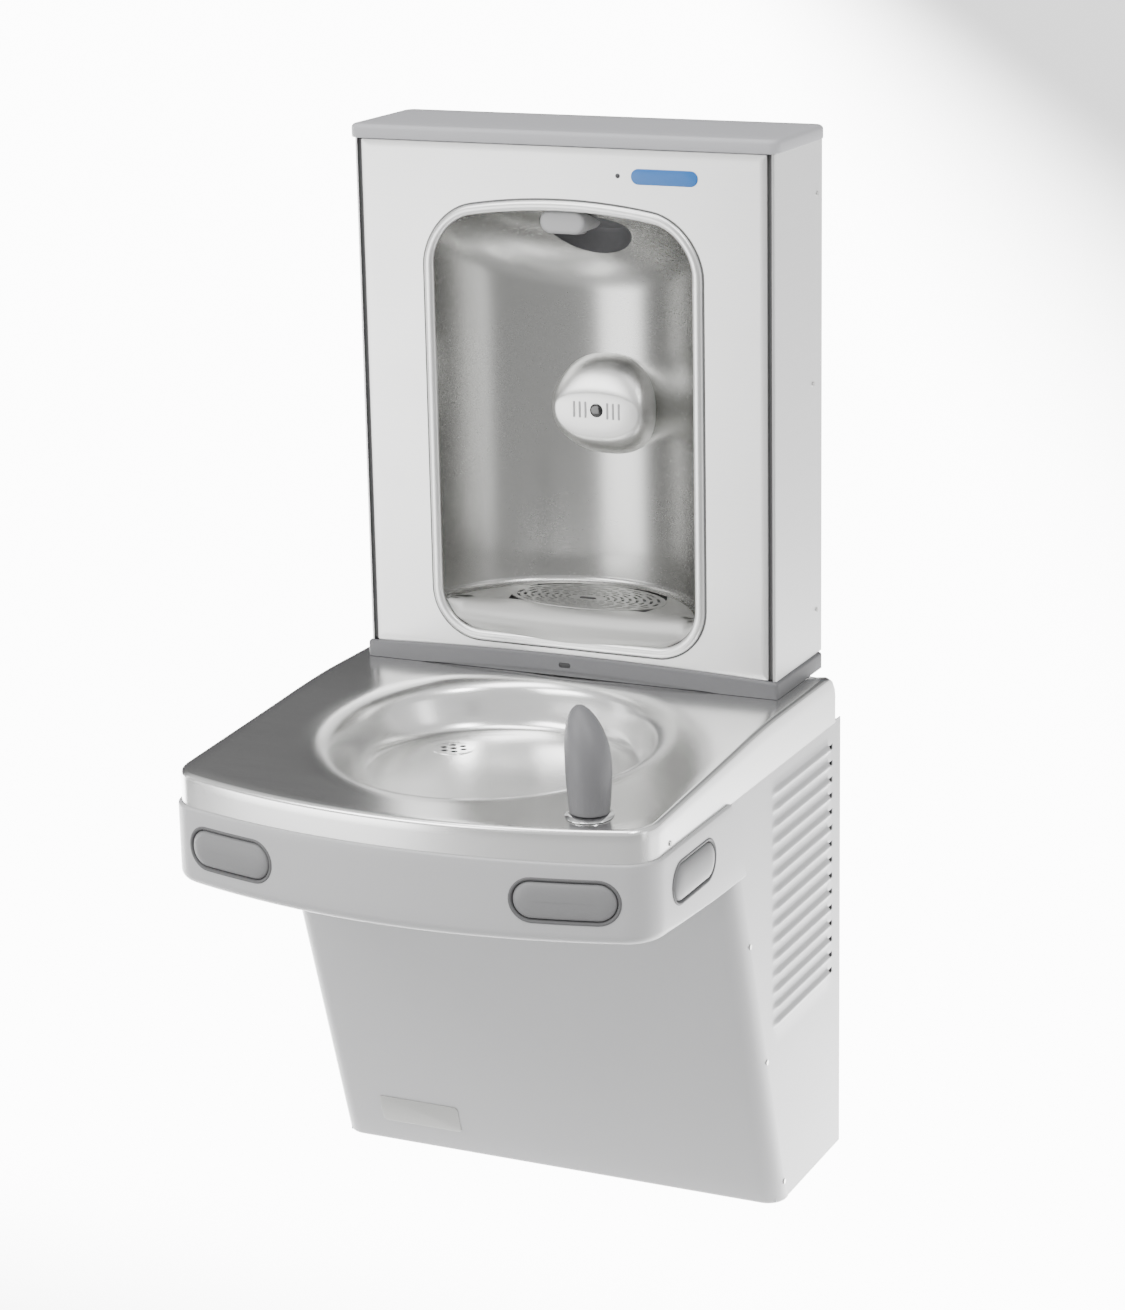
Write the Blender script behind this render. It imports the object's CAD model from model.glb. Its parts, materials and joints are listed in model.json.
"""Wall-hung drinking fountain with a bottle filler: the looks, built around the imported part.

Lengths inside the classes are millimetres in the part's own frame. They become metres when a mesh is made.
"""

import json
import logging
import math
from dataclasses import dataclass, field
from enum import Enum
from typing import Callable, Sequence

import bmesh
import bpy
from mathutils import Matrix, Vector


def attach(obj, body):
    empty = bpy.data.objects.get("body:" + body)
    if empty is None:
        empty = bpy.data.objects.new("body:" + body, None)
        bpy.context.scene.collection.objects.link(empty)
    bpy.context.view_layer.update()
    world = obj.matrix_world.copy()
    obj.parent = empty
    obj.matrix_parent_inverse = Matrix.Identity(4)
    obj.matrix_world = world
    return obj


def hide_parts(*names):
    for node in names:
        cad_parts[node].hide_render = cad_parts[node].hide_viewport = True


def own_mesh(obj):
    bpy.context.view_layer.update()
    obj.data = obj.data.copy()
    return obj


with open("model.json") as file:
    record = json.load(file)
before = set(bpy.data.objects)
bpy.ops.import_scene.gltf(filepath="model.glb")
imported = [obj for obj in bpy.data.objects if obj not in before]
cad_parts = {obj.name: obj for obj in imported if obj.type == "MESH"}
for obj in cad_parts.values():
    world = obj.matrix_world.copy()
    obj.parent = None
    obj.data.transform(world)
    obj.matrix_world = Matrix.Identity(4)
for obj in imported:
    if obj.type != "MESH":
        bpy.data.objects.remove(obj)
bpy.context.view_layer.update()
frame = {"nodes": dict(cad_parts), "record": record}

MM = 0.001
CABINET = "cabinet"
LOG = logging.getLogger("fountain")

Point = tuple[float, float, float]
Flat = tuple[float, float]


# ---------------------------------------------------------------- shader maths
class Sock:
    """A shader output that takes part in ordinary arithmetic."""

    def __init__(self, graph: "Graph", socket: bpy.types.NodeSocket) -> None:
        """Keeps the graph that the output belongs to, and the output."""
        self.graph = graph
        self.socket = socket

    def maths(self, operation: str, first: object, second: object) -> "Sock":
        """Adds one Math node.

        Args:
            operation: the Math node's operation.
            first: the first value or Sock.
            second: the second value or Sock.

        Returns:
            The node's result.
        """
        return self.graph.use("ShaderNodeMath", {"operation": operation}, {0: first, 1: second})

    def __add__(self, other: object) -> "Sock":
        """Sum."""
        return self.maths("ADD", self, other)

    def __radd__(self, other: object) -> "Sock":
        """Sum, reflected."""
        return self.maths("ADD", other, self)

    def __sub__(self, other: object) -> "Sock":
        """Difference."""
        return self.maths("SUBTRACT", self, other)

    def __rsub__(self, other: object) -> "Sock":
        """Difference, reflected."""
        return self.maths("SUBTRACT", other, self)

    def __mul__(self, other: object) -> "Sock":
        """Product."""
        return self.maths("MULTIPLY", self, other)

    def __rmul__(self, other: object) -> "Sock":
        """Product, reflected."""
        return self.maths("MULTIPLY", other, self)


class Graph:
    """The nodes of one material or of the world."""

    def __init__(self, tree: bpy.types.NodeTree) -> None:
        """Empties the tree and keeps it."""
        self.tree = tree
        tree.nodes.clear()

    def node(self, kind: str, settings: dict | None = None, inputs: dict | None = None) -> bpy.types.Node:
        """Adds any node.

        Args:
            kind: the node's type name.
            settings: attributes set first; "stops" sets a colour ramp's stops.
            inputs: values or Socks for its sockets, by name or number.

        Returns:
            The new node.
        """
        made = self.tree.nodes.new(kind)
        for key, value in (settings or {}).items():
            if key == "stops":
                ramp = made.color_ramp
                while len(ramp.elements) < len(value):
                    ramp.elements.new(0.5)
                for element, (place, shade) in zip(ramp.elements, value):
                    element.position = place
                    element.color = shade if isinstance(shade, tuple) else (shade, shade, shade, 1.0)
            else:
                setattr(made, key, value)
        for key, value in (inputs or {}).items():
            if isinstance(value, Sock):
                self.tree.links.new(value.socket, made.inputs[key])
            else:
                made.inputs[key].default_value = value
        return made

    def use(self, kind: str, settings: dict | None = None, inputs: dict | None = None, out: object = 0) -> Sock:
        """Adds any node and returns one of its outputs.

        Args:
            kind: the node's type name.
            settings: attributes set first.
            inputs: values or Socks for its sockets.
            out: the output's name or number.

        Returns:
            The output.
        """
        return Sock(self, self.node(kind, settings, inputs).outputs[out])

    def blend(self, share: object, first: object, second: object) -> Sock:
        """Mixes two colours.

        Args:
            share: 0 for the first, 1 for the second.
            first: a colour or Sock.
            second: a colour or Sock.

        Returns:
            The mixed colour.
        """
        return self.use("ShaderNodeMix", {"data_type": "RGBA"}, {0: share, 6: first, 7: second}, 2)

    def stretched(self, scale: Point) -> Sock:
        """The place on the object, stretched by the given scale on each axis."""
        place = self.use("ShaderNodeTexCoord", out="Object")
        return self.use("ShaderNodeVectorMath", {"operation": "MULTIPLY"}, {0: place, 1: scale})

    def noise(self, scale: Point, detail: float = 2.0, rough: float = 0.5) -> Sock:
        """A noise value between 0 and 1.

        Args:
            scale: how many features per metre, on each axis.
            detail: the noise's detail.
            rough: the noise's roughness.

        Returns:
            The value.
        """
        links = {"Vector": self.stretched(scale), "Scale": 1.0, "Detail": detail, "Roughness": rough}
        return self.use("ShaderNodeTexNoise", {"noise_dimensions": "3D"}, links)


class Grain(Enum):
    """The kinds of small structure that a finish can have."""

    BRUSHED_X = "brushed along x"
    BRUSHED_Y = "brushed along y"
    BRUSHED_Z = "brushed along z"
    POWDER = "powder coat"
    MOULDED = "moulded plastic"
    CAST = "cast or pressed and sprayed"
    SPANGLE = "zinc spangle"
    DRAWN = "drawn tube"
    FOAM = "closed-cell foam"


BRUSH = {
    Grain.BRUSHED_X: (7.0, 900.0, 900.0),
    Grain.BRUSHED_Y: (900.0, 7.0, 900.0),
    Grain.BRUSHED_Z: (900.0, 900.0, 7.0),
}
MADE: dict[str, bpy.types.Material] = {}


def shade(hexadecimal: str) -> Point:
    """The linear colour of a screen colour such as "BEBEBE"."""
    parts = [int(hexadecimal[i:i + 2], 16) / 255 for i in (0, 2, 4)]
    return tuple(c / 12.92 if c <= 0.04045 else ((c + 0.055) / 1.055) ** 2.4 for c in parts)


@dataclass(frozen=True)
class Finish:
    """One finish: what it is made of, and the small structure that its surface shows."""

    name: str
    slot: str
    colour: str
    rough: float
    grain: Grain
    metal: float = 0.0
    swing: float = 0.06
    rough_swing: float = 0.08
    bump: float = 0.1
    soil: float = 0.06
    coat: float = 0.0
    anisotropic: float = 0.0
    clear: float = 0.0

    def structure(self, graph: Graph) -> tuple[Sock, float]:
        """The height of the small structure.

        Args:
            graph: the material's nodes.

        Returns:
            The height from 0 to 1, and how deep it is in metres.
        """
        if self.grain in BRUSH:
            fine = graph.noise(BRUSH[self.grain], 3.0, 0.6)
            coarse = graph.noise(tuple(s * 0.22 for s in BRUSH[self.grain]), 2.0)
            return fine * 0.7 + coarse * 0.3, 0.00006
        if self.grain is Grain.POWDER:
            return graph.noise((620.0,) * 3, 2.0) * 0.75 + graph.noise((2100.0,) * 3, 1.0) * 0.25, 0.00012
        if self.grain is Grain.MOULDED:
            return graph.noise((1500.0,) * 3, 2.0, 0.6), 0.00008
        if self.grain is Grain.CAST:
            return graph.noise((420.0,) * 3, 5.0, 0.65), 0.0002
        if self.grain is Grain.DRAWN:
            return graph.noise((260.0, 260.0, 40.0), 3.0), 0.00008
        links = {"Vector": graph.stretched((1.0, 1.0, 1.0)),
                 "Scale": 70.0 if self.grain is Grain.SPANGLE else 650.0}
        return graph.use("ShaderNodeTexVoronoi", {"feature": "F1"}, links, "Distance"), 0.00015

    def material(self) -> bpy.types.Material:
        """Makes the material once, and returns it each time.

        Returns:
            The material.
        """
        if self.name in MADE:
            return MADE[self.name]
        made = bpy.data.materials.new(self.name)
        made.use_nodes = True
        graph = Graph(made.node_tree)
        height, depth = self.structure(graph)
        smudge = graph.noise((5.0, 5.0, 7.0), 4.0, 0.6)
        base = shade(self.colour)
        dark = tuple(c * (1 - self.swing) for c in base) + (1.0,)
        light = tuple(min(1.0, c * (1 + self.swing)) for c in base) + (1.0,)
        soiled = tuple(c * w for c, w in zip(base, (0.80, 0.78, 0.74))) + (1.0,)
        colour = graph.blend(height, dark, light)
        if self.grain is Grain.SPANGLE:
            links = {"Vector": graph.stretched((1.0, 1.0, 1.0)), "Scale": 70.0}
            cell = graph.use("ShaderNodeTexVoronoi", {"feature": "F1"}, links, "Color")
            flake = graph.use("ShaderNodeSeparateColor", {}, {0: cell}, 0)
            colour = graph.blend(flake, dark, light)
        patch = graph.use("ShaderNodeValToRGB", {"stops": [(0.48, 0.0), (0.78, 1.0)]}, {0: smudge})
        colour = graph.blend(patch * self.soil, colour, soiled)
        rough = self.rough + (height - 0.5) * self.rough_swing + (smudge - 0.5) * (self.rough_swing * 0.8)
        bump = graph.use("ShaderNodeBump", {}, {"Strength": self.bump, "Distance": depth, "Height": height})
        links = {"Base Color": colour, "Roughness": rough, "Normal": bump, "Metallic": self.metal,
                 "Coat Weight": self.coat, "Coat Roughness": 0.12, "Anisotropic": self.anisotropic,
                 "Transmission Weight": self.clear}
        shader = graph.use("ShaderNodeBsdfPrincipled", {}, links)
        graph.node("ShaderNodeOutputMaterial", {}, {"Surface": shader})
        MADE[self.name] = made
        return made


DECK_STEEL = Finish("deck_steel", "brushed_stainless", "E9E9E8", 0.23, Grain.BRUSHED_X, 1.0, 0.05, 0.05,
                    0.05, 0.05)
PLATE_STEEL = Finish("plate_steel", "brushed_stainless", "DEDEDD", 0.36, Grain.BRUSHED_X, 1.0, 0.04, 0.06,
                     0.10, 0.04)
LINER_STEEL = Finish("liner_steel", "brushed_stainless", "ADADAB", 0.27, Grain.BRUSHED_X, 1.0, 0.03, 0.03,
                     0.015, 0.03)
PAN_STEEL = Finish("pan_steel", "brushed_stainless", "ACACAA", 0.52, Grain.BRUSHED_X, 1.0, 0.03, 0.03, 0.03,
                   0.03)
SIDE_STEEL = Finish("side_steel", "brushed_stainless", "DFDFDF", 0.40, Grain.BRUSHED_Y, 1.0, 0.04, 0.06,
                    0.10, 0.04)
POD_STEEL = Finish("pod_steel", "brushed_stainless", "D2D2D0", 0.34, Grain.BRUSHED_X, 1.0, 0.02, 0.03, 0.01,
                   0.03)
CHROME = Finish("chrome_trim", "polished_trim", "E2E2E2", 0.14, Grain.DRAWN, 1.0, 0.02, 0.04, 0.03, 0.03)
ENAMEL = Finish("grey_enamel", "grey_enamel", "AFAFB0", 0.44, Grain.POWDER, 0.0, 0.03, 0.06, 0.12, 0.05,
                coat=0.10)
CAP_ENAMEL = Finish("cap_enamel", "trim_grey", "A2A2A5", 0.48, Grain.POWDER, 0.0, 0.03, 0.06, 0.12, 0.05)
TRIM_ENAMEL = Finish("trim_enamel", "trim_grey", "5E5E60", 0.45, Grain.POWDER, 0.0, 0.03, 0.06, 0.12, 0.05)
PAD_RUBBER = Finish("pad_rubber", "pad_grey", "79797A", 0.50, Grain.MOULDED, 0.0, 0.05, 0.08, 0.20, 0.08)
SPOUT_GREY = Finish("spout_grey", "light_plastic", "9E9E9F", 0.45, Grain.MOULDED, 0.0, 0.04, 0.06, 0.12, 0.04)
SEAL_GREY = Finish("seal_grey", "black_rubber", "5A5A5B", 0.60, Grain.MOULDED, 0.0, 0.08, 0.08, 0.20, 0.08)
RECESS_GREY = Finish("recess_grey", "dark_plastic", "5C5C5E", 0.50, Grain.MOULDED, 0.0, 0.05, 0.06, 0.12, 0.05)
BUBBLER_GREY = Finish("bubbler_grey", "pad_grey", "68686A", 0.46, Grain.MOULDED, 0.0, 0.05, 0.08, 0.15, 0.08)
BLACK_RUBBER = Finish("black_rubber", "black_rubber", "2C2C2D", 0.60, Grain.MOULDED, 0.0, 0.10, 0.08, 0.25,
                      0.10)
DARK_PLASTIC = Finish("dark_plastic", "dark_plastic", "3A3A3C", 0.42, Grain.MOULDED, 0.0, 0.08, 0.08, 0.15,
                      0.06)
ZINC = Finish("galvanised", "galvanised_steel", "B4B8BA", 0.38, Grain.SPANGLE, 1.0, 0.16, 0.12, 0.15, 0.10)
BRASS = Finish("brass", "brass", "C9A55B", 0.28, Grain.CAST, 1.0, 0.08, 0.12, 0.10, 0.20)
COPPER = Finish("copper", "copper", "C47F5A", 0.26, Grain.DRAWN, 1.0, 0.10, 0.14, 0.08, 0.30)
BLACK_ENAMEL = Finish("black_enamel", "black_enamel", "202022", 0.35, Grain.CAST, 0.0, 0.10, 0.08, 0.15,
                      0.08, 0.3)
FAN_METAL = Finish("fan_metal", "fan_metal", "C0C2C4", 0.32, Grain.DRAWN, 1.0, 0.06, 0.10, 0.08, 0.10)
TANK_STEEL = Finish("tank_steel", "tank_steel", "BDBDBB", 0.34, Grain.DRAWN, 1.0, 0.05, 0.10, 0.08, 0.08)
FOAM = Finish("black_foam", "foam_black", "262627", 0.85, Grain.FOAM, 0.0, 0.25, 0.08, 0.60, 0.05)
PIPE = Finish("grey_pipe", "pipe_plastic", "8F8F90", 0.42, Grain.MOULDED, 0.0, 0.05, 0.08, 0.10, 0.08)
HOSE = Finish("clear_hose", "clear_hose", "D8DCE0", 0.22, Grain.DRAWN, 0.0, 0.04, 0.05, 0.05, 0.04, clear=0.4)
BLUE = Finish("blue_label", "blue_label", "0F5EA3", 0.40, Grain.MOULDED, 0.0, 0.05, 0.06, 0.05, 0.02, coat=0.15)
LENS = Finish("dark_lens", "lens_black", "0A0A0B", 0.08, Grain.MOULDED, 0.0, 0.10, 0.04, 0.02, 0.02, coat=0.6)

BY_SLOT = {f.slot: f for f in (PLATE_STEEL, CHROME, ENAMEL, CAP_ENAMEL, PAD_RUBBER, SPOUT_GREY, BLACK_RUBBER,
                               DARK_PLASTIC, ZINC, BRASS, COPPER, BLACK_ENAMEL, FAN_METAL, TANK_STEEL, FOAM, PIPE,
                               HOSE, BLUE, LENS)}


# ---------------------------------------------------------------- mesh making
def ease(value: float) -> float:
    """A smooth step from 0 to 1."""
    value = max(0.0, min(1.0, value))
    return value * value * (3 - 2 * value)


def along(stops: Sequence[Flat], at: float) -> float:
    """The value of a line through stops.

    Args:
        stops: (place, value) pairs in rising order of place.
        at: the place.

    Returns:
        The value there.
    """
    if at <= stops[0][0]:
        return stops[0][1]
    for (a, va), (b, vb) in zip(stops, stops[1:]):
        if at <= b:
            return va + (vb - va) * (at - a) / (b - a)
    return stops[-1][1]


def arc(cx: float, cy: float, r: float, start: float, end: float, count: int) -> list[Flat]:
    """Points on an arc.

    Args:
        cx: the centre's first coordinate.
        cy: the centre's second coordinate.
        r: the radius.
        start: the first angle in degrees.
        end: the last angle in degrees.
        count: how many steps.

    Returns:
        count + 1 points.
    """
    angles = [math.radians(start + (end - start) * i / count) for i in range(count + 1)]
    return [(cx + r * math.cos(a), cy + r * math.sin(a)) for a in angles]


def line(a: Flat, b: Flat, count: int) -> list[Flat]:
    """The points between a and b, without either end, in count steps."""
    return [(a[0] + (b[0] - a[0]) * i / count, a[1] + (b[1] - a[1]) * i / count) for i in range(1, count)]


def rounded(x0: float, y0: float, x1: float, y1: float, r: float, corner: int = 8, side: int = 6) -> list[Flat]:
    """A rectangle with round corners, with the same number of points whatever its size.

    Args:
        x0: left.
        y0: bottom.
        x1: right.
        y1: top.
        r: the corners' radius.
        corner: steps in a corner.
        side: steps on a side.

    Returns:
        The outline, anticlockwise.
    """
    points: list[Flat] = []
    for cx, cy, start in ((x1 - r, y1 - r, 0), (x0 + r, y1 - r, 90), (x0 + r, y0 + r, 180),
                          (x1 - r, y0 + r, 270)):
        turn = arc(cx, cy, r, start, start + 90, corner)
        if points:
            points += line(points[-1], turn[0], side)
        points += turn
    return points + line(points[-1], points[0], side)


def pill(w: float, h: float, corner: int = 16, side: int = 12) -> list[Flat]:
    """A pill of the given width and height, round its centre."""
    return rounded(-w / 2, -h / 2, w / 2, h / 2, h / 2 - 0.001, corner // 2, side)


class Shape:
    """A mesh under way, in millimetres."""

    def __init__(self) -> None:
        """Starts empty."""
        self.bm = bmesh.new()

    def loft(self, rings: Sequence[Sequence[Point]], around: bool = True, capped: bool = False,
             skip: Callable[[int, int], bool] | None = None) -> "Shape":
        """Joins rings of equal length with quads.

        Args:
            rings: the rings, in order.
            around: the last point of a ring joins its first.
            capped: the first and last rings are closed with a face.
            skip: says which quads are left out, from their row and place.

        Returns:
            The shape.
        """
        rows = [[self.bm.verts.new(p) for p in ring] for ring in rings]
        count = len(rows[0])
        for k, (a, b) in enumerate(zip(rows, rows[1:])):
            for i in range(count if around else count - 1):
                if skip and skip(k, i):
                    continue
                j = (i + 1) % count
                self.bm.faces.new((a[i], a[j], b[j], b[i]))
        if capped:
            self.bm.faces.new(rows[0])
            self.bm.faces.new(rows[-1])
        return self

    def turned(self, profile: Sequence[Flat], place: Matrix, count: int = 64) -> "Shape":
        """Turns a profile round an axis.

        Args:
            profile: (radius, height) pairs.
            place: where the axis stands; it turns round the matrix's Z.
            count: steps round.

        Returns:
            The shape.
        """
        rings = []
        for r, z in profile:
            rings.append([place @ Vector((r * math.cos(2 * math.pi * i / count),
                                          r * math.sin(2 * math.pi * i / count), z)) for i in range(count)])
        return self.loft(rings)

    def away_from(self, inside: Point) -> "Shape":
        """Turns all faces so that they look away from a point.

        Args:
            inside: the point.

        Returns:
            The shape.
        """
        self.weld()
        total = sum(f.normal.dot(f.calc_center_median() - Vector(inside)) * f.calc_area() for f in self.bm.faces)
        if total < 0:
            bmesh.ops.reverse_faces(self.bm, faces=self.bm.faces[:])
        return self

    def weld(self) -> "Shape":
        """Joins points that lie together, and drops faces without area.

        Returns:
            The shape.
        """
        bmesh.ops.remove_doubles(self.bm, verts=self.bm.verts[:], dist=0.002)
        bmesh.ops.dissolve_degenerate(self.bm, edges=self.bm.edges[:], dist=0.001)
        self.bm.normal_update()
        return self

    def trim(self, point: Point, normal: Point, fill: bool = False) -> "Shape":
        """Cuts off what lies on the normal's side of a plane.

        Args:
            point: a point on the plane.
            normal: the direction that is cut off.
            fill: the cut is closed.

        Returns:
            The shape.
        """
        everything = self.bm.verts[:] + self.bm.edges[:] + self.bm.faces[:]
        cut = bmesh.ops.bisect_plane(self.bm, geom=everything, plane_co=point, plane_no=normal,
                                     clear_outer=True)
        if fill:
            edges = [g for g in cut["geom_cut"] if isinstance(g, bmesh.types.BMEdge)]
            bmesh.ops.triangle_fill(self.bm, edges=edges, use_beauty=True)
        return self

    def made(self, name: str, closed: bool = True, crease: float = 38.0) -> bpy.types.Object:
        """Turns the shape into an object in metres.

        Args:
            name: the object's name.
            closed: the shape is closed, so its faces can be turned outwards.
            crease: edges sharper than this many degrees stay sharp.

        Returns:
            The object.
        """
        self.weld()
        if closed:
            bmesh.ops.recalc_face_normals(self.bm, faces=self.bm.faces[:])
        bmesh.ops.scale(self.bm, vec=(MM, MM, MM), verts=self.bm.verts[:])
        mesh = bpy.data.meshes.new(name)
        self.bm.to_mesh(mesh)
        self.bm.free()
        made = bpy.data.objects.new(name, mesh)
        bpy.context.scene.collection.objects.link(made)
        creased(made, crease)
        return made


def creased(piece: bpy.types.Object, degrees: float) -> None:
    """Shades a piece smoothly, except over its sharper edges.

    Args:
        piece: the piece.
        degrees: edges that turn more than this stay sharp.
    """
    bm = bmesh.new()
    bm.from_mesh(piece.data)
    for face in bm.faces:
        face.smooth = True
    for edge in bm.edges:
        edge.smooth = len(edge.link_faces) != 2 or edge.calc_face_angle(0.0) < math.radians(degrees)
    bm.to_mesh(piece.data)
    bm.free()


def baked(piece: bpy.types.Object, crease: float = 38.0) -> bpy.types.Object:
    """Applies a piece's modifiers to its mesh.

    Args:
        piece: the piece.
        crease: edges sharper than this many degrees are sharp afterwards.

    Returns:
        The piece.
    """
    bpy.context.view_layer.update()
    solid = piece.evaluated_get(bpy.context.evaluated_depsgraph_get())
    mesh = bpy.data.meshes.new_from_object(solid)
    piece.modifiers.clear()
    old = piece.data
    piece.data = mesh
    mesh.name = piece.name
    bpy.data.meshes.remove(old)
    creased(piece, crease)
    return piece


def thickened(piece: bpy.types.Object, thickness: float) -> bpy.types.Object:
    """Gives an open sheet its thickness, on the side away from its faces.

    Args:
        piece: the sheet.
        thickness: how thick it gets, in millimetres.

    Returns:
        The piece.
    """
    solid = piece.modifiers.new("thickness", "SOLIDIFY")
    solid.thickness = thickness * MM
    solid.offset = -1.0
    solid.use_even_offset = True
    return baked(piece)


def drilled(piece: bpy.types.Object, cutters: Sequence[bpy.types.Object],
            crease: float = 38.0) -> bpy.types.Object:
    """Cuts other solids out of a piece, and removes them.

    Args:
        piece: the piece.
        cutters: the solids.
        crease: edges sharper than this many degrees are sharp afterwards.

    Returns:
        The piece.
    """
    for cutter in cutters:
        cut = piece.modifiers.new("cut", "BOOLEAN")
        cut.operation = "DIFFERENCE"
        cut.solver = "EXACT"
        cut.object = cutter
    baked(piece, crease)
    for cutter in cutters:
        mesh = cutter.data
        bpy.data.objects.remove(cutter)
        bpy.data.meshes.remove(mesh)
    return piece


def softened(piece: bpy.types.Object, width: float, steps: int = 3) -> bpy.types.Object:
    """Rounds the sharp edges of a piece.

    Args:
        piece: the piece.
        width: the rounding's width in millimetres.
        steps: how many faces it has across.

    Returns:
        The piece.
    """
    bevel = piece.modifiers.new("soft_edges", "BEVEL")
    bevel.width = width * MM
    bevel.segments = steps
    bevel.limit_method = "ANGLE"
    bevel.angle_limit = math.radians(40)
    bevel.harden_normals = True
    return piece


def placed(piece: bpy.types.Object, finish: Finish, body: str = CABINET,
           stands_for: Sequence[str] = ()) -> bpy.types.Object:
    """Dresses a finished piece and ties it to the part.

    Args:
        piece: the piece.
        finish: its finish.
        body: the body that it rides on.
        stands_for: the CAD nodes that it replaces.

    Returns:
        The piece.
    """
    piece.data.materials.clear()
    piece.data.materials.append(finish.material())
    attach(piece, body)
    if stands_for:
        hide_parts(*stands_for)
    LOG.info("%s: %d faces on %s", piece.name, len(piece.data.polygons), body)
    return piece


def at(x: float, y: float, z: float, turn: float = 0.0, axis: str = "Z") -> Matrix:
    """A frame at a point, turned by the given degrees about an axis."""
    return Matrix.Translation((x, y, z)) @ Matrix.Rotation(math.radians(turn), 4, axis)


FACING_FRONT = Matrix.Rotation(math.radians(90), 4, "X")


# ---------------------------------------------------------------- the studio
@dataclass
class Studio:
    """The camera, the pale floor, the sky and the soft lights."""

    eye: Point = (1.33028, -2.98238, 0.91942)
    ahead: Point = (-0.40705, 0.87145, -0.27366)
    roll: float = -0.019781
    lens: float = 93.877
    floor_z: float = -0.90

    def camera(self) -> None:
        """Stands the camera in front, to the right and above."""
        data = bpy.data.cameras.new("camera")
        data.sensor_fit = "VERTICAL"
        data.sensor_height = 36.0
        data.sensor_width = 36.0
        data.lens = self.lens
        data.clip_end = 200.0
        eye = bpy.data.objects.new("camera", data)
        bpy.context.scene.collection.objects.link(eye)
        ahead = Vector(self.ahead).normalized()
        level = ahead.cross(Vector((0, 0, 1))).normalized()
        upright = level.cross(ahead)
        right = level * math.cos(self.roll) + upright * math.sin(self.roll)
        up = upright * math.cos(self.roll) - level * math.sin(self.roll)
        turn = Matrix((right, up, -ahead)).transposed().to_4x4()
        eye.matrix_world = Matrix.Translation(self.eye) @ turn
        bpy.context.scene.camera = eye

    def floor(self) -> None:
        """Lays a wide pale floor below the hung fountain."""
        bm = bmesh.new()
        rim = [bm.verts.new((60 * math.cos(a), 60 * math.sin(a), self.floor_z))
               for a in (math.radians(5 * i) for i in range(72))]
        bm.faces.new(rim)
        mesh = bpy.data.meshes.new("floor")
        bm.to_mesh(mesh)
        bm.free()
        floor = bpy.data.objects.new("floor", mesh)
        bpy.context.scene.collection.objects.link(floor)
        made = bpy.data.materials.new("pale_floor")
        made.use_nodes = True
        graph = Graph(made.node_tree)
        place = graph.use("ShaderNodeTexCoord", out="Object")
        parts = graph.node("ShaderNodeSeparateXYZ", {}, {0: place})
        x, y = Sock(graph, parts.outputs[0]), Sock(graph, parts.outputs[1])
        behind = graph.use("ShaderNodeMapRange", {"interpolation_type": "SMOOTHSTEP"},
                           {"Value": y, "From Min": -0.6, "From Max": 0.5})
        spread = graph.use("ShaderNodeMapRange", {"interpolation_type": "SMOOTHSTEP"},
                           {"Value": x + y * 0.467, "From Min": 0.9, "From Max": 2.6, "To Min": 1.0,
                            "To Max": 0.10})
        glow = graph.blend(behind * spread, (0.0, 0.0, 0.0, 1.0), (12.0, 12.0, 12.0, 1.0))
        shader = graph.use("ShaderNodeBsdfPrincipled", {},
                           {"Base Color": (0.62, 0.62, 0.62, 1.0), "Roughness": 0.9,
                                                            "Emission Color": glow, "Emission Strength": 1.0})
        graph.node("ShaderNodeOutputMaterial", {}, {"Surface": shader})
        mesh.materials.append(made)

    def sky(self) -> None:
        """Surrounds the scene with a soft sky: bright overhead and in front, darker low at the back."""
        world = bpy.data.worlds.new("studio_sky")
        bpy.context.scene.world = world
        world.use_nodes = True
        graph = Graph(world.node_tree)
        way = graph.use("ShaderNodeTexCoord", out="Generated")
        parts = graph.node("ShaderNodeSeparateXYZ", {}, {0: way})
        x, y, z = (Sock(graph, out) for out in parts.outputs)
        back = graph.use("ShaderNodeMapRange", {"interpolation_type": "SMOOTHSTEP"},
                         {"Value": y, "From Min": -0.35, "From Max": 0.55})
        high = graph.use("ShaderNodeMapRange", {"interpolation_type": "SMOOTHSTEP"},
                         {"Value": z, "From Min": 0.38, "From Max": 0.95})
        left = graph.use("ShaderNodeMapRange", {"interpolation_type": "SMOOTHSTEP"},
                         {"Value": x, "From Min": 0.1, "From Max": 0.55, "To Min": 1.0, "To Max": 0.0})
        low = graph.blend(back * left, (0.95, 0.95, 0.95, 1.0), (0.13, 0.13, 0.132, 1.0))
        glow = graph.blend(high, low, (1.0, 1.0, 1.0, 1.0))
        shader = graph.use("ShaderNodeBackground", {}, {"Color": glow, "Strength": 1.0})
        graph.node("ShaderNodeOutputWorld", {}, {"Surface": shader})

    def lamp(self, name: str, place: Point, towards: Point, size: Flat, watts: float) -> None:
        """Hangs one soft light.

        Args:
            name: its name.
            place: where it hangs, in metres.
            towards: the point that it faces.
            size: its width and height in metres.
            watts: its power.
        """
        data = bpy.data.lights.new(name, "AREA")
        data.shape = "RECTANGLE"
        data.size, data.size_y = size
        data.energy = watts
        lamp = bpy.data.objects.new(name, data)
        bpy.context.scene.collection.objects.link(lamp)
        lamp.location = place
        lamp.rotation_euler = (Vector(towards) - Vector(place)).to_track_quat("-Z", "Y").to_euler()
        lamp.visible_camera = False

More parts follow.
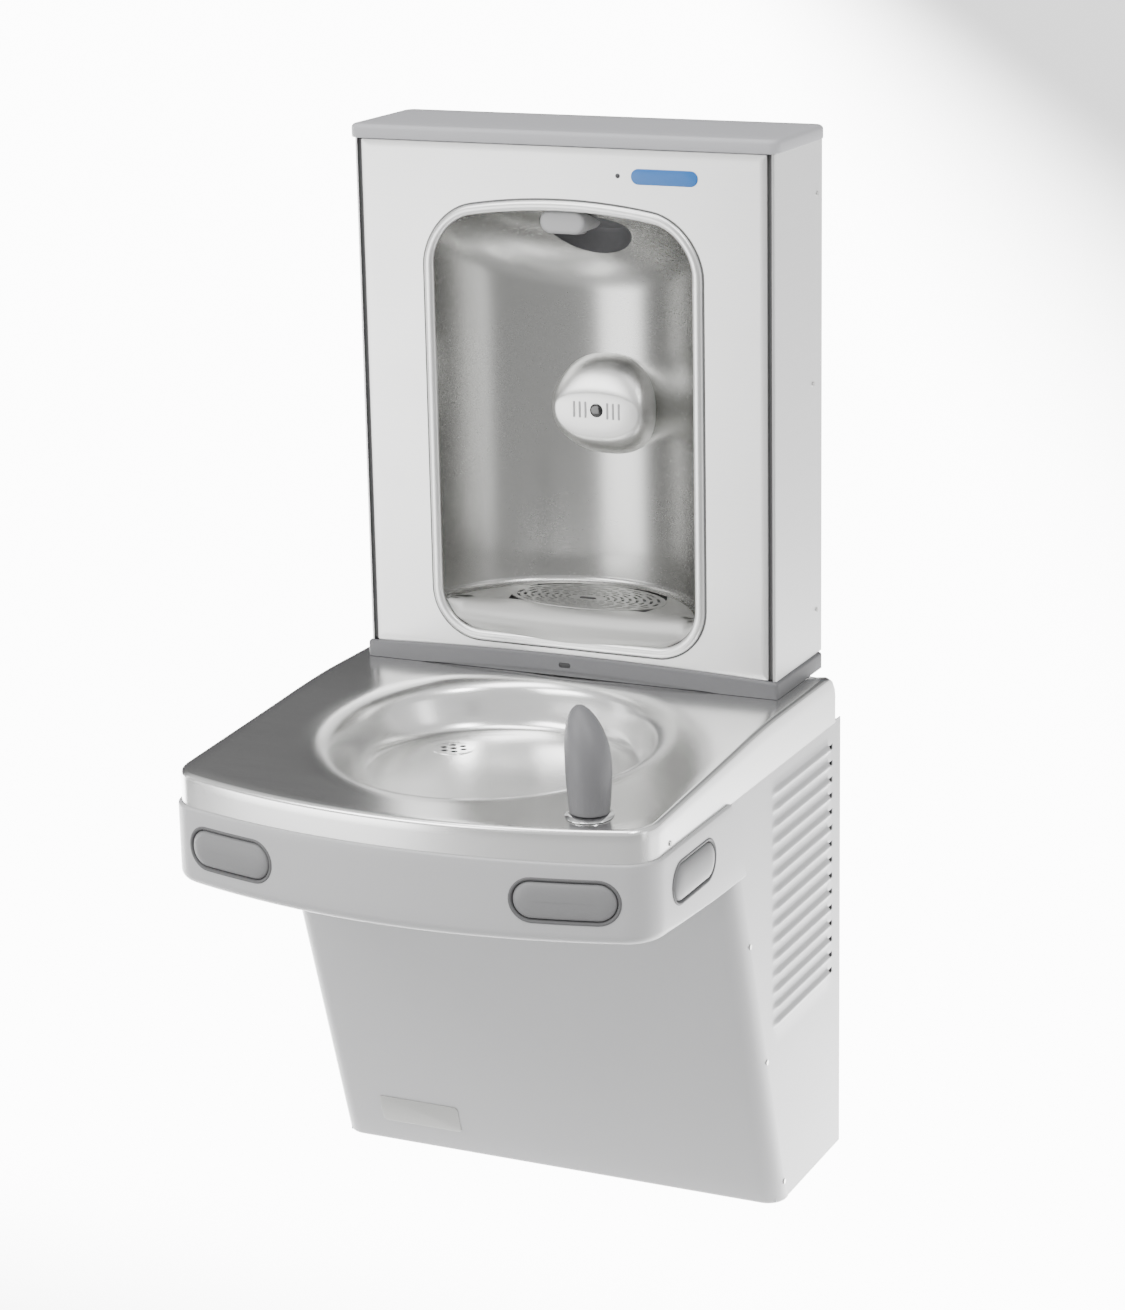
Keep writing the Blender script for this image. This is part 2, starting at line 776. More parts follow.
    def lights(self) -> None:
        """Hangs the soft lights."""
        self.lamp("top_box", (-0.2, -0.9, 2.8), (0, -0.2, 0), (1.8, 1.0), 40)
        self.lamp("high_left_box", (-1.35, -2.35, 2.15), (0, -0.2, 0.1), (1.7, 1.1), 50)
        self.lamp("low_left_card", (-1.95, -2.85, -0.35), (0, -0.2, 0.1), (2.1, 1.5), 52)
        self.lamp("left_strip", (-2.6, -0.75, 0.3), (0, -0.2, 0.1), (0.5, 1.8), 4)
        self.lamp("bowl_strip", (1.35, -1.25, 2.2), (0.0, -0.2, 0.0), (0.5, 0.9), 24)
        self.lamp("right_strip", (2.75, -0.8, 0.2), (0, -0.2, 0.1), (0.5, 1.8), 7)

    def build(self) -> None:
        """Sets the studio up, camera first."""
        self.camera()
        self.floor()
        self.sky()
        self.lights()


# ---------------------------------------------------------------- the basin
@dataclass(frozen=True)
class Bow:
    """The bowed outline that the basin and the apron share."""

    half: float = 234.5
    radius: float = 718.0
    corner: float = 33.0
    front: float = -509.0

    @property
    def centre_y(self) -> float:
        """Where the bow's centre lies."""
        return self.front + self.radius

    @property
    def corner_y(self) -> float:
        """Where the front corners' centres lie."""
        reach = self.radius - self.corner
        return self.centre_y - reach * math.cos(math.asin((self.half - self.corner) / reach))

    def edge(self, inset: float, back: float, side: int = 20, turn: int = 10, bow: int = 48) -> list[Flat]:
        """The outline from the right rear round the front to the left rear.

        Args:
            inset: how far inside the outline it runs.
            back: where it starts and ends.
            side: steps on each side.
            turn: steps round each corner.
            bow: steps along the front.

        Returns:
            The open line.
        """
        cx, cy = self.half - self.corner, self.corner_y
        swing = math.degrees(math.atan2(cy - self.centre_y, cx))
        right = [(self.half - inset, back)] + line((self.half - inset, back), (self.half - inset, cy), side)
        front = arc(0, self.centre_y, self.radius - inset, swing, -180 - swing, bow)
        points = right + arc(cx, cy, self.corner - inset, 0, swing, turn) + front[1:-1]
        points += arc(-cx, cy, self.corner - inset, -180 - swing, -180, turn)
        return points + line((-self.half + inset, cy), (-self.half + inset, back),
                             side) + [(-self.half + inset, back)]


@dataclass
class Basin:
    """The pressed basin: deck, bowl, rolled edge and skirt in one sheet, with its strainer."""

    bow: Bow = field(default_factory=Bow)
    bowl_y: float = -287.0
    floor_z: float = -49.9
    skirt: float = -49.5
    roll: float = 5.0
    back_r: float = 25.0
    back_y: float = -38.0
    drain: Flat = (-72.0, -228.0)
    fall: tuple[Flat, ...] = ((-520, -20.5), (-455, -16.4), (-382, -11.9), (-310, -7.5), (-266, -4.6),
                              (-230, -2.2),
                              (-202, -0.9), (-184, -0.25), (-170, 0.0))
    wall: tuple[Flat, ...] = ((0, 0.0), (40, 0.0), (80, 0.002), (110, 0.006), (124, 0.014), (131, 0.032),
                              (135.5, 0.07),
                              (138.5, 0.13), (140.8, 0.22), (142.6, 0.33), (144.2, 0.45), (145.8,
                                                                                           0.57), (147.4, 0.68),
                              (149, 0.765), (151.2, 0.83), (154.4, 0.885), (158.4, 0.935), (163,
                                                                                            0.972), (168,
                                                                                                     0.992),
                              (174, 1.0))

    def on_deck(self, x: float, s: float, drop: float = 0.0) -> Point:
        """A point of the deck's sheet.

        Args:
            x: across.
            s: y, carried on round the rounded back edge.
            drop: how far below the surface.

        Returns:
            The point.
        """
        if s <= self.back_y:
            return (x, s, along(self.fall, s) - drop)
        a = (s - self.back_y) / self.back_r
        return (x, self.back_y + (self.back_r - drop) * math.sin(a),
                -self.back_r + (self.back_r - drop) * math.cos(a))

    def loop(self, inset: float) -> list[Flat]:
        """The whole outline with its back line, in the deck's own coordinates.

        Args:
            inset: how far inside the edge it runs.

        Returns:
            The closed outline.
        """
        back = self.back_y + self.back_r * math.pi / 2
        edge = self.bow.edge(inset, back, side=40)
        return edge + line(edge[-1], edge[0], 40)

    def sheet(self) -> None:
        """Presses the sheet: bowl, deck, rolled edge, skirt."""
        inner = self.loop(self.roll)
        ways = [Vector((x, s - self.bowl_y)).normalized() for x, s in inner]
        rings: list[list[Point]] = []
        for r, h in self.wall:
            ring = []
            for way in ways:
                soft = ease(0.5 - 0.62 * way.y)
                reach = r + soft * ((9.0 * h - 15.0 * (1 - h)) if r > 60 else 0.0)
                x, y = way.x * reach, self.bowl_y + way.y * reach
                ring.append((x, y, self.floor_z + (along(self.fall, y) - self.floor_z) * h))
            rings.append(ring)
        rim = [(p[0], p[1]) for p in rings[-1]]
        for t in (0.12, 0.28, 0.46, 0.64, 0.82, 1.0):
            rings.append([self.on_deck(a[0] + (b[0] - a[0]) * t, a[1] + (b[1] - a[1]) * t)
                          for a, b in zip(rim, inner)])
        for k in range(1, 7):
            a = math.radians(15 * k)
            drop = self.roll * (1 - math.cos(a))
            rings.append([self.on_deck(x, s, drop) for x, s in self.loop(self.roll * (1 - math.sin(a)))])
        last = rings[-1]
        for t in (0.25, 0.6, 1.0):
            rings.append([(x, y, z + (self.skirt - z) * t) for x, y, z in last])
        shape = Shape().loft(rings).away_from((0, self.bowl_y, -400))
        sheet = thickened(shape.made("basin_sheet", closed=False), 1.4)
        hole = Shape().turned([(0, -20), (15.5, -20), (15.5, 20), (0, 20)], at(*self.drain, self.floor_z), 40)
        placed(drilled(sheet, [hole.made("hole")]), DECK_STEEL, stands_for=["basin"])

    def strainer(self) -> None:
        """Sets the drain strainer into the bowl's floor."""
        x, y = self.drain
        z = self.floor_z
        plate = Shape().turned([(0, -7), (15.0, -7), (15.0, 0.1), (19.5, 0.1), (20.0, 0.2), (19.8, 0.5),
                                (18, 0.8),
                                (8, 0.7), (0, 0.7)], at(x, y, z), 64).made("strainer")
        holes = [(0.0, 0.0)] + [(10.5 * math.cos(a), 10.5 * math.sin(a))
                                for a in (math.radians(60 * i) for i in range(6))]
        cutters = [Shape().turned([(0, -9), (3.3, -9), (3.3, 4), (0, 4)], at(x + dx, y + dy, z),
                                  20).made("hole")
                   for dx, dy in holes]
        placed(drilled(plate, cutters), DECK_STEEL, stands_for=["drain_strainer"])

    def build(self) -> None:
        """Builds the basin."""
        self.sheet()
        self.strainer()


@dataclass
class Bubbler:
    """The bubbler's guard and the ring that it stands on."""

    foot: Point = (171.0, -452.0, -16.2)
    faces: float = 142.0
    girth: tuple[tuple[float, float, float], ...] = (
        (3.6, 17.2, 0.0), (4.6, 18.2, 0.0), (10, 18.8, 0.0), (20, 19.6, 0.0), (30, 20.4, 0.1), (40, 20.9, 0.4),
        (50, 21.0, 1.2), (60, 20.4, 2.8), (68, 19.2, 4.8), (76, 17.0, 7.6), (83, 14.0, 10.4), (88, 11.0, 12.6),
        (92, 7.6, 14.2), (94.6, 3.8, 15.2), (95.4, 0.0, 15.6))

    def guard(self) -> None:
        """Moulds the guard: a hood with a scooped mouth towards the bowl."""
        place = at(*self.foot, self.faces)
        rings: list[list[Point]] = [[place @ Vector((0, 0, 3.4))] * 72]
        for z, r, lean in self.girth:
            ring = []
            for i in range(72):
                a = 2 * math.pi * i / 72
                mouth = math.exp(-(math.remainder(a,
                                                  2 * math.pi) / 0.62) ** 2) * math.exp(-((z - 57) / 17) ** 4)
                flute = 0.22 * math.cos(24 * a) * ease((34 - z) / 20) * ease((z - 4) / 5)
                reach = r * (1 - 0.30 * mouth) + flute
                ring.append(place @ Vector((lean + reach * math.cos(a), reach * 0.96 * math.sin(a), z)))
            rings.append(ring)
        placed(Shape().loft(rings).made("bubbler_hood", crease=60), BUBBLER_GREY, stands_for=["bubbler_guard"])

    def ring(self) -> None:
        """Turns the bright ring at the foot."""
        slope = math.degrees(math.atan(0.062))
        place = at(self.foot[0], self.foot[1], self.foot[2] + 0.2) @ Matrix.Rotation(math.radians(slope), 4,
                                                                                     "X")
        profile = [(8.6, 0.0), (20.8, 0.0), (21.6, 0.4), (21.4, 1.0), (20.2, 1.7), (18.8, 2.2), (17.6, 2.8),
                   (15.2, 3.0), (13.0, 2.9), (8.6, 2.9), (8.6, 0.0)]
        placed(Shape().turned(profile, place, 72).made("bubbler_ring"), CHROME, stands_for=["bubbler_flange"])

    def build(self) -> None:
        """Builds the bubbler."""
        self.guard()
        self.ring()


# ---------------------------------------------------------------- the apron and its pads
class Side(Enum):
    """The four places of a push pad."""

    FRONT_LEFT = "front_left"
    FRONT_RIGHT = "front_right"
    SIDE_LEFT = "side_left"
    SIDE_RIGHT = "side_right"


@dataclass
class Apron:
    """The bowed apron below the basin, with its four push pads and their seals."""

    bow: Bow = field(default_factory=Bow)
    out: float = 3.5
    top: float = -47.6
    foot: float = -123.0
    pad_w: float = 92.0
    pad_h: float = 34.0
    pad_z: float = -82.0
    spread: float = 13.2
    side_y: float = -380.0

    def place(self, side: Side) -> Matrix:
        """The frame of a push pad.

        Args:
            side: which pad.

        Returns:
            Its matrix: x along the pad, y inwards, z up.
        """
        turn = -1 if "left" in side.value else 1
        if "front" in side.value:
            return (at(0, self.bow.centre_y, self.pad_z, turn * self.spread)
                    @ at(0, -self.bow.radius - self.out, 0))
        return at(turn * (self.bow.half + self.out), self.side_y, self.pad_z, turn * 90)

    def sag(self, side: Side, x: float) -> float:
        """How far the bowed front falls back at x along a pad."""
        return x * x / (2 * (self.bow.radius + self.out)) if "front" in side.value else 0.0

    def rings(self, side: Side, profile: Sequence[Flat], follow: float = 9.0) -> list[list[Point]]:
        """Pill rings round a pad.

        Args:
            side: which pad.
            profile: (growth of the pill, y) pairs.
            follow: up to this y, the rings follow the bowed front.

        Returns:
            The rings.
        """
        place = self.place(side)
        made = []
        for grow, y in profile:
            outline = pill(self.pad_w + 2 * grow, self.pad_h + 2 * grow)
            bend = 1.0 if y < follow else 0.0
            made.append([place @ Vector((x, y + bend * self.sag(side, x), z)) for x, z in outline])
        return made

    def band(self) -> None:
        """Forms the apron's band, with its rolled lower edge and the pads' openings."""
        rise = [(3.3, self.top - 0.1, 0.0), (1.6, self.top - 0.1, 0.0), (0.7, self.top - 0.4, 0.0),
                (0.15, self.top - 1.0, 0.0), (0.0, self.top - 2.0, 0.0)]
        rise += [(0.0, self.top - 2 - 7.4 * k, 0.11 * k) for k in range(1, 8)]
        rings = []
        for inset, z, share in rise:
            rings.append([(x, s, z + share * self.droop(s)) for x, s in self.line(inset, z)])
        for k in range(0, 8):
            a = math.radians(90 * k / 7)
            ring = []
            for (x0, s0), (x1, s1) in zip(self.line(0.0, self.foot), self.line(12.0, self.foot)):
                roll = along([(-500, 12), (-460, 10), (-400, 5), (-330, 1.5)], s0)
                part = roll * (1 - math.cos(a)) / 12.0
                z = self.foot + roll * (1 - math.sin(a)) + self.droop(s0)
                ring.append((x0 + (x1 - x0) * part, s0 + (s1 - s0) * part, z))
            rings.append(ring)
        shape = Shape().loft(rings, around=False).away_from((0, -200, -85))
        band = thickened(shape.made("apron_band", closed=False), 1.3)
        cutters = []
        for side in Side:
            place = self.place(side)
            cutter = [[place @ Vector((x, y, z)) for x,
                       z in pill(self.pad_w + 6, self.pad_h + 6)] for y in (-12, 16)]
            cutters.append(Shape().loft(cutter, capped=True).made("opening"))
        placed(drilled(band, cutters), ENAMEL, stands_for=["apron"])

    def droop(self, y: float) -> float:
        """How the lower edge drops from the corner to the rear end of the side."""
        return along([(-512, 0.0), (-480, 1.4), (-440, 1.0), (-256, -4.0)], y)

    def line(self, inset: float, z: float) -> list[Flat]:
        """The apron's outline at a height; its rear end slants."""
        back = -292 + 36 * (self.top - z) / (self.top + 127)
        return self.bow.edge(inset - self.out, back, side=22, turn=12, bow=64)

    def pads(self) -> None:
        """Moulds the pads: crowned pills with a flange and a stem inside, one on each pad's body."""
        face = [(-16.9, -3.3), (-14, -3.25), (-10.5, -3.05), (-7.5, -2.7), (-5.0, -2.15), (-3.0, -1.4),
                (-1.6, -0.6),
                (-0.6, 0.4), (-0.1, 1.6), (0.0, 3.0), (0.0, 7.6), (2.4, 7.6), (2.4, 9.5)]
        for side in Side:
            shape = Shape().loft(self.rings(side, face, 7.0), capped=True)
            stem = self.place(side) @ Matrix.Translation((0, 34, 0)) @ FACING_FRONT
            shape.turned([(0, 0), (2.0, 0), (2.6, 0.6), (2.6, 24.6), (0, 24.6)], stem, 24)
            name = side.value
            placed(shape.made(f"pad_{name}_face"), PAD_RUBBER, f"pad_{name}_body", [f"pad_{name}"])

    def seals(self) -> None:
        """Moulds the dark seals round the pads."""
        lip = [(0.4, 7.0), (0.4, 1.6), (0.8, 0.3), (1.5, -0.5), (2.4, -0.9), (3.3, -0.7), (3.9, -0.15),
               (3.9, -0.05),
               (2.8, -0.05), (2.8, 7.0), (0.4, 7.0)]
        shape = Shape()
        for side in Side:
            shape.loft(self.rings(side, lip))
        placed(shape.made("pad_seals"), SEAL_GREY, stands_for=["pad_gaskets"])

    def bellows(self) -> None:
        """Moulds the bellows behind the pads: each flattens towards its switch as its pad goes in."""
        folds, steps, length, root, wall = 3, 36, 11.8, 21.7, 2.6
        outer = [(11.5 - 1.5 * math.cos(math.tau * folds * k / steps),
                  length * k / steps) for k in range(steps + 1)]
        profile = outer + [(r - wall, h) for r, h in reversed(outer)] + outer[:1]
        for side in Side:
            place = self.place(side)
            shape = Shape().turned(profile, place @ Matrix.Translation((0, root, 0)) @ FACING_FRONT, 48)
            name = side.value
            piece = placed(shape.made(f"bellows_{name}_folds"), BLACK_RUBBER, stands_for=[f"bellows_{name}"])
            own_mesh(piece)

    def build(self) -> None:
        """Builds the apron."""
        self.band()
        self.pads()
        self.seals()
        self.bellows()


# ---------------------------------------------------------------- the cabinet
@dataclass
class Cabinet:
    """The leaning front panel, the louvred sides and the blank nameplate."""

    half: float = 236.5
    foot_y: float = -172.5
    foot_z: float = -492.5
    head: float = -119.5
    lean: float = 17.54
    corner: float = 20.0
    seam: float = 24.0
    side_x: float = 233.5
    pitch: float = 16.4
    louvres: int = 15
    first: float = -72.0

    def face_y(self, z: float) -> float:
        """Where the front panel's face is at a height."""
        return self.foot_y - math.tan(math.radians(self.lean)) * (z - self.foot_z)

    def outline(self, z: float, inset: float) -> list[Flat]:
        """The front panel's outline at a height.

        Args:
            z: the height.
            inset: how far inside the face it runs.

        Returns:
            The open line, from the right rear round the front to the left rear.
        """
        y, hw, r = self.face_y(z), self.half, self.corner
        right = [(hw - inset, y + self.seam)] + line((hw - inset, y + self.seam), (hw - inset, y + r), 4)
        points = right + arc(hw - r, y + r, r - inset, 0, -90, 9)
        points += line((hw - r, y + inset), (-hw + r, y + inset), 24)
        points += arc(-hw + r, y + r, r - inset, -90, -180, 9)
        return points + line((-hw + inset, y + r), (-hw + inset, y + self.seam),
                             4) + [(-hw + inset, y + self.seam)]

    def front(self) -> None:
        """Folds the front panel, with a small roll at its foot."""
        roll, steps, lip = 4.0, 18, 9.0
        rows = [(self.head + (self.foot_z + roll - self.head) * k / steps, 0.0) for k in range(steps + 1)]
        rows += [(self.foot_z + roll * (1 - math.sin(a)), roll * (1 - math.cos(a)))
                 for a in (math.radians(degrees) for degrees in (22, 45, 67, 90))]
        rows.append((self.foot_z, lip))
        rings = [[(x, y, z) for x, y in self.outline(z, inset)] for z, inset in rows]
        shape = Shape().loft(rings, around=False).away_from((0, -120, -300))
        placed(thickened(shape.made("front_cover", closed=False), 1.2), ENAMEL, stands_for=["front_panel"])

    def rows(self) -> list[tuple[float, int]]:
        """Lists the side panel's rows from the top down.

        Returns:
            Each row's height, and which louvre it belongs to, or -1.
        """
        rows = [(-48.3, -1), (-58.0, -1)]
        for i in range(self.louvres):
            middle = self.first - self.pitch * i
            rows += [(middle + d, i) for d in (5.6, 4.4, 3.2, 2.2, 1.1, 0, -1.1, -2.2, -3.2, -4.4, -5.6)]
        last = self.first - self.pitch * (self.louvres - 1) - 5.6
        return rows + [(last + (self.foot_z - last) * k / 10, -1) for k in range(1, 11)]

    def side(self, sign: int) -> None:
        """Presses a louvred side panel.

        Args:
            sign: -1 for the left side, 1 for the right.
        """
        fixed = [-186.0, -183.5, -180.5, -177, -172, -165, -140, -110, -80, -55, -36.6, -36.0, -35.4, -22.5,
                 -14, -1]
        rows = self.rows()
        split = rows[-11][0]
        rings: list[list[Point]] = []
        holes: set[tuple[int, int]] = set()
        for k, (z, louvre) in enumerate(rows):
            front = self.face_y(max(z, split)) + self.seam - 8
            cols = [front + (fixed[0] - front) * c / 4 for c in range(4)] + fixed
            if z < split:
                here = self.face_y(z) + self.seam - 8
                cols = [here + (-1 - here) * (c - front) / (-1 - front) for c in cols]
            ring = []
            for c, y in enumerate(cols):
                rise = 0.0
                if louvre >= 0:
                    d = z - (self.first - self.pitch * louvre)
                    across = math.cos(math.pi * d / 11.4) ** 2 if abs(d) < 5.7 else 0.0
                    rise = 3.1 * across * ease((y + 184) / 13) * (1.0 if y < -35.8 else 0.0)
                    if -2.3 < d < 2.3 and -35.5 < y < -35.3:
                        holes.add((k, c))
                ring.append((sign * (self.side_x + rise), y, z))
            rings.append(ring)
        shape = Shape().loft(rings, around=False, skip=lambda k, i: (k, i) in holes)
        shape.away_from((0, -120, -250))
        name = "left" if sign < 0 else "right"
        sheet = thickened(shape.made(f"louvred_side_{name}", closed=False, crease=50), 1.1)
        placed(sheet, ENAMEL, stands_for=[f"side_panel_{name}"])

    def plate(self) -> None:
        """Fixes the blank nameplate low on the front panel."""
        lean = at(0, self.foot_y, self.foot_z) @ Matrix.Rotation(math.radians(self.lean), 4, "X")
        rings = []
        for inset, y in ((0.0, -0.15), (0.0, -0.6), (0.3, -0.85), (0.9, -0.95)):
            rings.append([lean @ Vector((x, y, z)) for x, z in rounded(-186 + inset, 27 + inset, -99 - inset,
                                                                     58 - inset, 3.2 - inset * 0.6)])
        placed(Shape().loft(rings, capped=True).made("blank_plate"), PAN_STEEL, stands_for=["nameplate"])

    def build(self) -> None:
        """Builds the cabinet's skins."""
        self.front()
        self.side(-1)
        self.side(1)
        self.plate()


# ---------------------------------------------------------------- the tower
@dataclass
class Tower:
    """The bottle filler's tower: face plate, cap, foot trim, badge and light."""

    half: float = 213.5
    face: float = -121.0
    top: float = 509.5
    trim: float = 16.3
    hole: tuple[float, float, float, float] = (-132.5, 38.0, 132.5, 450.0)
    hole_r: float = 40.0

    def opening(self, grow: float, y: float) -> list[Point]:
        """The alcove's opening, whose top is a shallow arch.

        Args:
            grow: how much larger it is on each side.
            y: the depth.

        Returns:
            The closed outline.
        """
        x0, z0, x1, z1 = self.hole
        outline = rounded(x0 - grow, z0 - grow, x1 + grow, z1 + grow, self.hole_r + grow, 14, 14)
        return [(x, y, z - (1 + x * x / 1120) * ease((z - 300) / 130)) for x, z in outline]

    def plate(self) -> None:
        """Cuts the face plate, with its folded edges."""
        def outer(inset: float, y: float) -> list[Point]:
            """The plate's outline."""
            return [(x, y, z) for x, z in rounded(-206 + inset, self.trim + 0.6 + inset, 206 - inset,
                                                  self.top - 0.6 - inset, 1.6, 14, 14)]
        y = self.face
        rings = [outer(0, y + 1.5), outer(0, y + 0.7), outer(0.25, y + 0.2), outer(0.8, y), outer(8, y),
                 self.opening(12, y), self.opening(4.4, y), self.opening(4, y + 0.4), self.opening(4, y + 1.5),
                 outer(0, y + 1.5)]
        placed(Shape().loft(rings).made("face_plate"), PLATE_STEEL, stands_for=["tower_front"])

    def cap(self) -> None:
        """Moulds the cap with its rounded edge."""
        rings = []
        for inset, z in ((22, 512.5), (12, 512.5), (10.5, 509.7), (1.2, 509.7), (0.3, 510.1), (0, 511),
                         (0, 518.6),
                         (0.35, 520.4), (1.3, 521.8), (2.8, 522.7), (4.8, 523.0), (30, 523.0)):
            rings.append([(x, y, z) for x, y in rounded(-217.5 + inset, -125 + inset, 217.5 - inset,
                                                        max(-0.5 - inset, -60.0), max(9.5 - 0.6 * inset, 1.5))])
        placed(Shape().loft(rings, capped=True).made("cap"), CAP_ENAMEL, stands_for=["tower_cap"])

    def foot_trim(self) -> None:
        """Forms the trim round the tower's foot, arched along the front, with a small dark slot."""
        rings = []
        for inset, z in ((0, 0.3), (0, 13.2), (0.4, 14.9), (1.4, 16.0), (2.6, 16.3), (4.4, 16.3), (4.4, 0.3),
                         (0, 0.3)):
            ring = []
            for x, y in rounded(-216 + inset, -124 + inset, 216 - inset, -4 - inset, 3.0, 6, 30):
                reach = 155 if z < 1 else 212
                lift = 5.5 * max(0.0, 1 - (x / reach) ** 2) if y < -115 else 0.0
                ring.append((x, y, z + lift))
            rings.append(ring)
        band = Shape().loft(rings).made("trim_band")
        slot = [[(x - 3, y, z + 11.6) for x, z in pill(12.5, 5.0)] for y in (-130, -123.0)]
        placed(drilled(band, [Shape().loft(slot, capped=True).made("slot")]), TRIM_ENAMEL,
               stands_for=["tower_trim"])
        plug = [[(x - 3, y, z + 11.6) for x, z in pill(12.2 - i, 4.7 - i)] for y,
                i in ((-122.95, 0), (-123.6, 0),
                                                                                       (-123.75, 0.5))]
        placed(Shape().loft(plug, capped=True).made("trim_slot"), BLACK_RUBBER)
        strip = [[(x, y, z) for y, z in rounded(-122.6, 0.25, -119.6, 9.0, 0.5, 2, 2)] for x in (-200, 200)]
        placed(Shape().loft(strip, capped=True).made("trim_backing"), TRIM_ENAMEL)

    def marks(self) -> None:
        """Fixes the plain blue badge and the status light."""
        y = self.face
        badge = [[(x + 105.5, y - out, z + 484) for x, z in pill(66 - 2 * i, 14.5 - 2 * i)]
                 for i, out in ((0, 0.05), (0, 0.55), (0.25, 0.8), (0.8, 0.9))]
        placed(Shape().loft(badge, capped=True).made("badge"), BLUE, stands_for=["label_badge"])
        dome = at(59, y + 5, 484) @ FACING_FRONT
        profile = [(0, 0), (2.3, 0), (2.3, 5.2), (2.0, 5.7), (1.2, 6.1), (0, 6.3)]
        placed(Shape().turned(profile, dome, 32).made("light"), DARK_PLASTIC, stands_for=["status_led"])

    def build(self) -> None:
        """Builds the tower."""
        self.plate()
        self.cap()
        self.foot_trim()
        self.marks()


@dataclass
class Alcove:
    """The alcove where a bottle stands: liner, bezel, grille, spout, recess and sensor."""

    tower: Tower
    centre_y: float = -155.0
    r: float = 141.0
    mouth: float = -119.4
    floor_z: float = 66.0
    sensor_z: float = 246.0
    spout_z: float = 438.0
    fall: float = 50.0

    def ceiling(self, y: float) -> float:
        """The ceiling's height at a depth."""
        return 451.6 - 0.4433 * (y + 119.3)

    def vault(self, x: float, y: float) -> float:
        """The height of the ceiling and its round fall into the wall.

        Args:
            x: across.
            y: the depth.

        Returns:
            The height there.
        """
        reach = (math.hypot(x, y - self.centre_y) - (self.r - self.fall)) / self.fall
        drop = self.fall * (1 - math.cos(math.asin(max(0.0, min(1.0, reach)))))
        return self.ceiling(y) - drop

    def liner(self) -> None:
        """Draws the liner: a half round wall that runs softly into ceiling and floor."""
        top, low, r = self.fall, 7.0, self.r
        path: list[tuple[float, float, float]] = [(0, 1.0, 0), (45, 1.0, 0), (70, 1.0, 0), (r - top, 1.0, 0)]
        path += [(r - top + top * math.sin(a), 1.0, top * (1 - math.cos(a)))
                 for a in (math.radians(90 * k / 10) for k in range(1, 11))]
        path += [(r, share / 12, 0) for share in range(11, 0, -1)]
        path += [(r - low + low * math.cos(a), 0.0, low * (1 - math.sin(a)))
                 for a in (math.radians(90 * k / 5) for k in range(0, 6))]
        rings = []
        for reach, share, off in path:
            ring = []
            for i in range(121):
                a = math.radians(-110 + 220 * i / 120)
                x, y = reach * math.sin(a), self.centre_y + reach * math.cos(a)
                high = self.ceiling(y) - (off if share == 1.0 else top)
                deep = self.floor_z + (off if share == 0.0 else low)
                ring.append((x, y, deep + (high - deep) * share))
            rings.append(ring)
        shape = Shape().loft(rings, around=False)
        shape.weld()
        shape.trim((0, self.mouth, 0), (0, -1, 0))
        shape.away_from((0, -60, 250))
        bmesh.ops.reverse_faces(shape.bm, faces=shape.bm.faces[:])
        sheet = thickened(shape.made("liner_sheet", closed=False), 1.1)
        recess = Shape().turned([(0, -45), (44, -45), (44, 14), (0, 14)], self.recess_place(), 96).made("hole")
        eye = at(0, -2, self.sensor_z) @ FACING_FRONT
        hole = Shape().turned([(0, 0), (8, 0), (8, 30), (0, 30)], eye, 32).made("eye")
        placed(drilled(sheet, [recess, hole]), LINER_STEEL, stands_for=["alcove_liner"])

    def front_line(self, x: float) -> float:
        """How far the pan's front bows out at x."""
        return -119.0 - 8.0 * max(0.0, 1 - (x / 128) ** 2)

    def pan(self) -> None:
        """Presses the floor pan: flat round the grille, bowed over the bezel at the front."""
        count, widest, reach, flare, longest = 48, 73.0, 134.3, 131.5 / 129.5, 24.0
        columns = []
        for i in range(count + 1):
            a = math.radians(widest * (2 * i / count - 1))
            x, y = reach * math.sin(a), self.centre_y + reach * math.cos(a)
            u = x * flare
            front = self.front_line(u)
            run = min(longest, 0.7 * (y - front))
            drop = min(19.0, max(0.5, self.floor_z - self.sill(u) - 1.0))
            low = self.floor_z - drop
            column = [(x + (u - x) * t, y + (front + run - y) * t, self.floor_z)
                      for t in (0.0, 0.12, 0.3, 0.5, 0.7, 0.85, 0.95)]
            column += [(u, front + run * (1 - math.sin(b)), low + drop * math.cos(b))
                       for b in (math.radians(9 * k) for k in range(11))]
            foot = min(low, self.sill(u))
            column += [(u, front + 2.4 * t * t, low + (foot - low) * t) for t in (0.35, 0.7, 0.9, 1.0)]
            columns.append(column)
        rings = list(zip(*columns))
        shape = Shape().loft(rings, around=False).away_from((0, -80, 0))
        pan = thickened(shape.made("floor_pan", closed=False, crease=50), 1.0)
        well = Shape().turned([(0, -5), (77, -5), (77, 5), (0, 5)], at(0, -74, self.floor_z), 96)
        well.trim((0, -101, 0), (0, -1, 0), True).trim((0, -24, 0), (0, 1, 0), True)
        placed(drilled(pan, [well.made("well")]), PAN_STEEL)

    def sill(self, x: float) -> float:
        """The height of the opening's lower edge at x, a little overlapped by the pan."""
        corner = max(0.0, min(39.9, abs(x) - 92.5))
        return 78.0 - math.sqrt(1600.0 - corner * corner) - 3.5 * max(0.0, 1 - abs(x) / 95)

    def recess_place(self) -> Matrix:
        """The frame of the round recess in the sloping ceiling."""
        return at(0, -62, 426.6) @ Matrix.Rotation(math.atan(-0.4433), 4, "X")

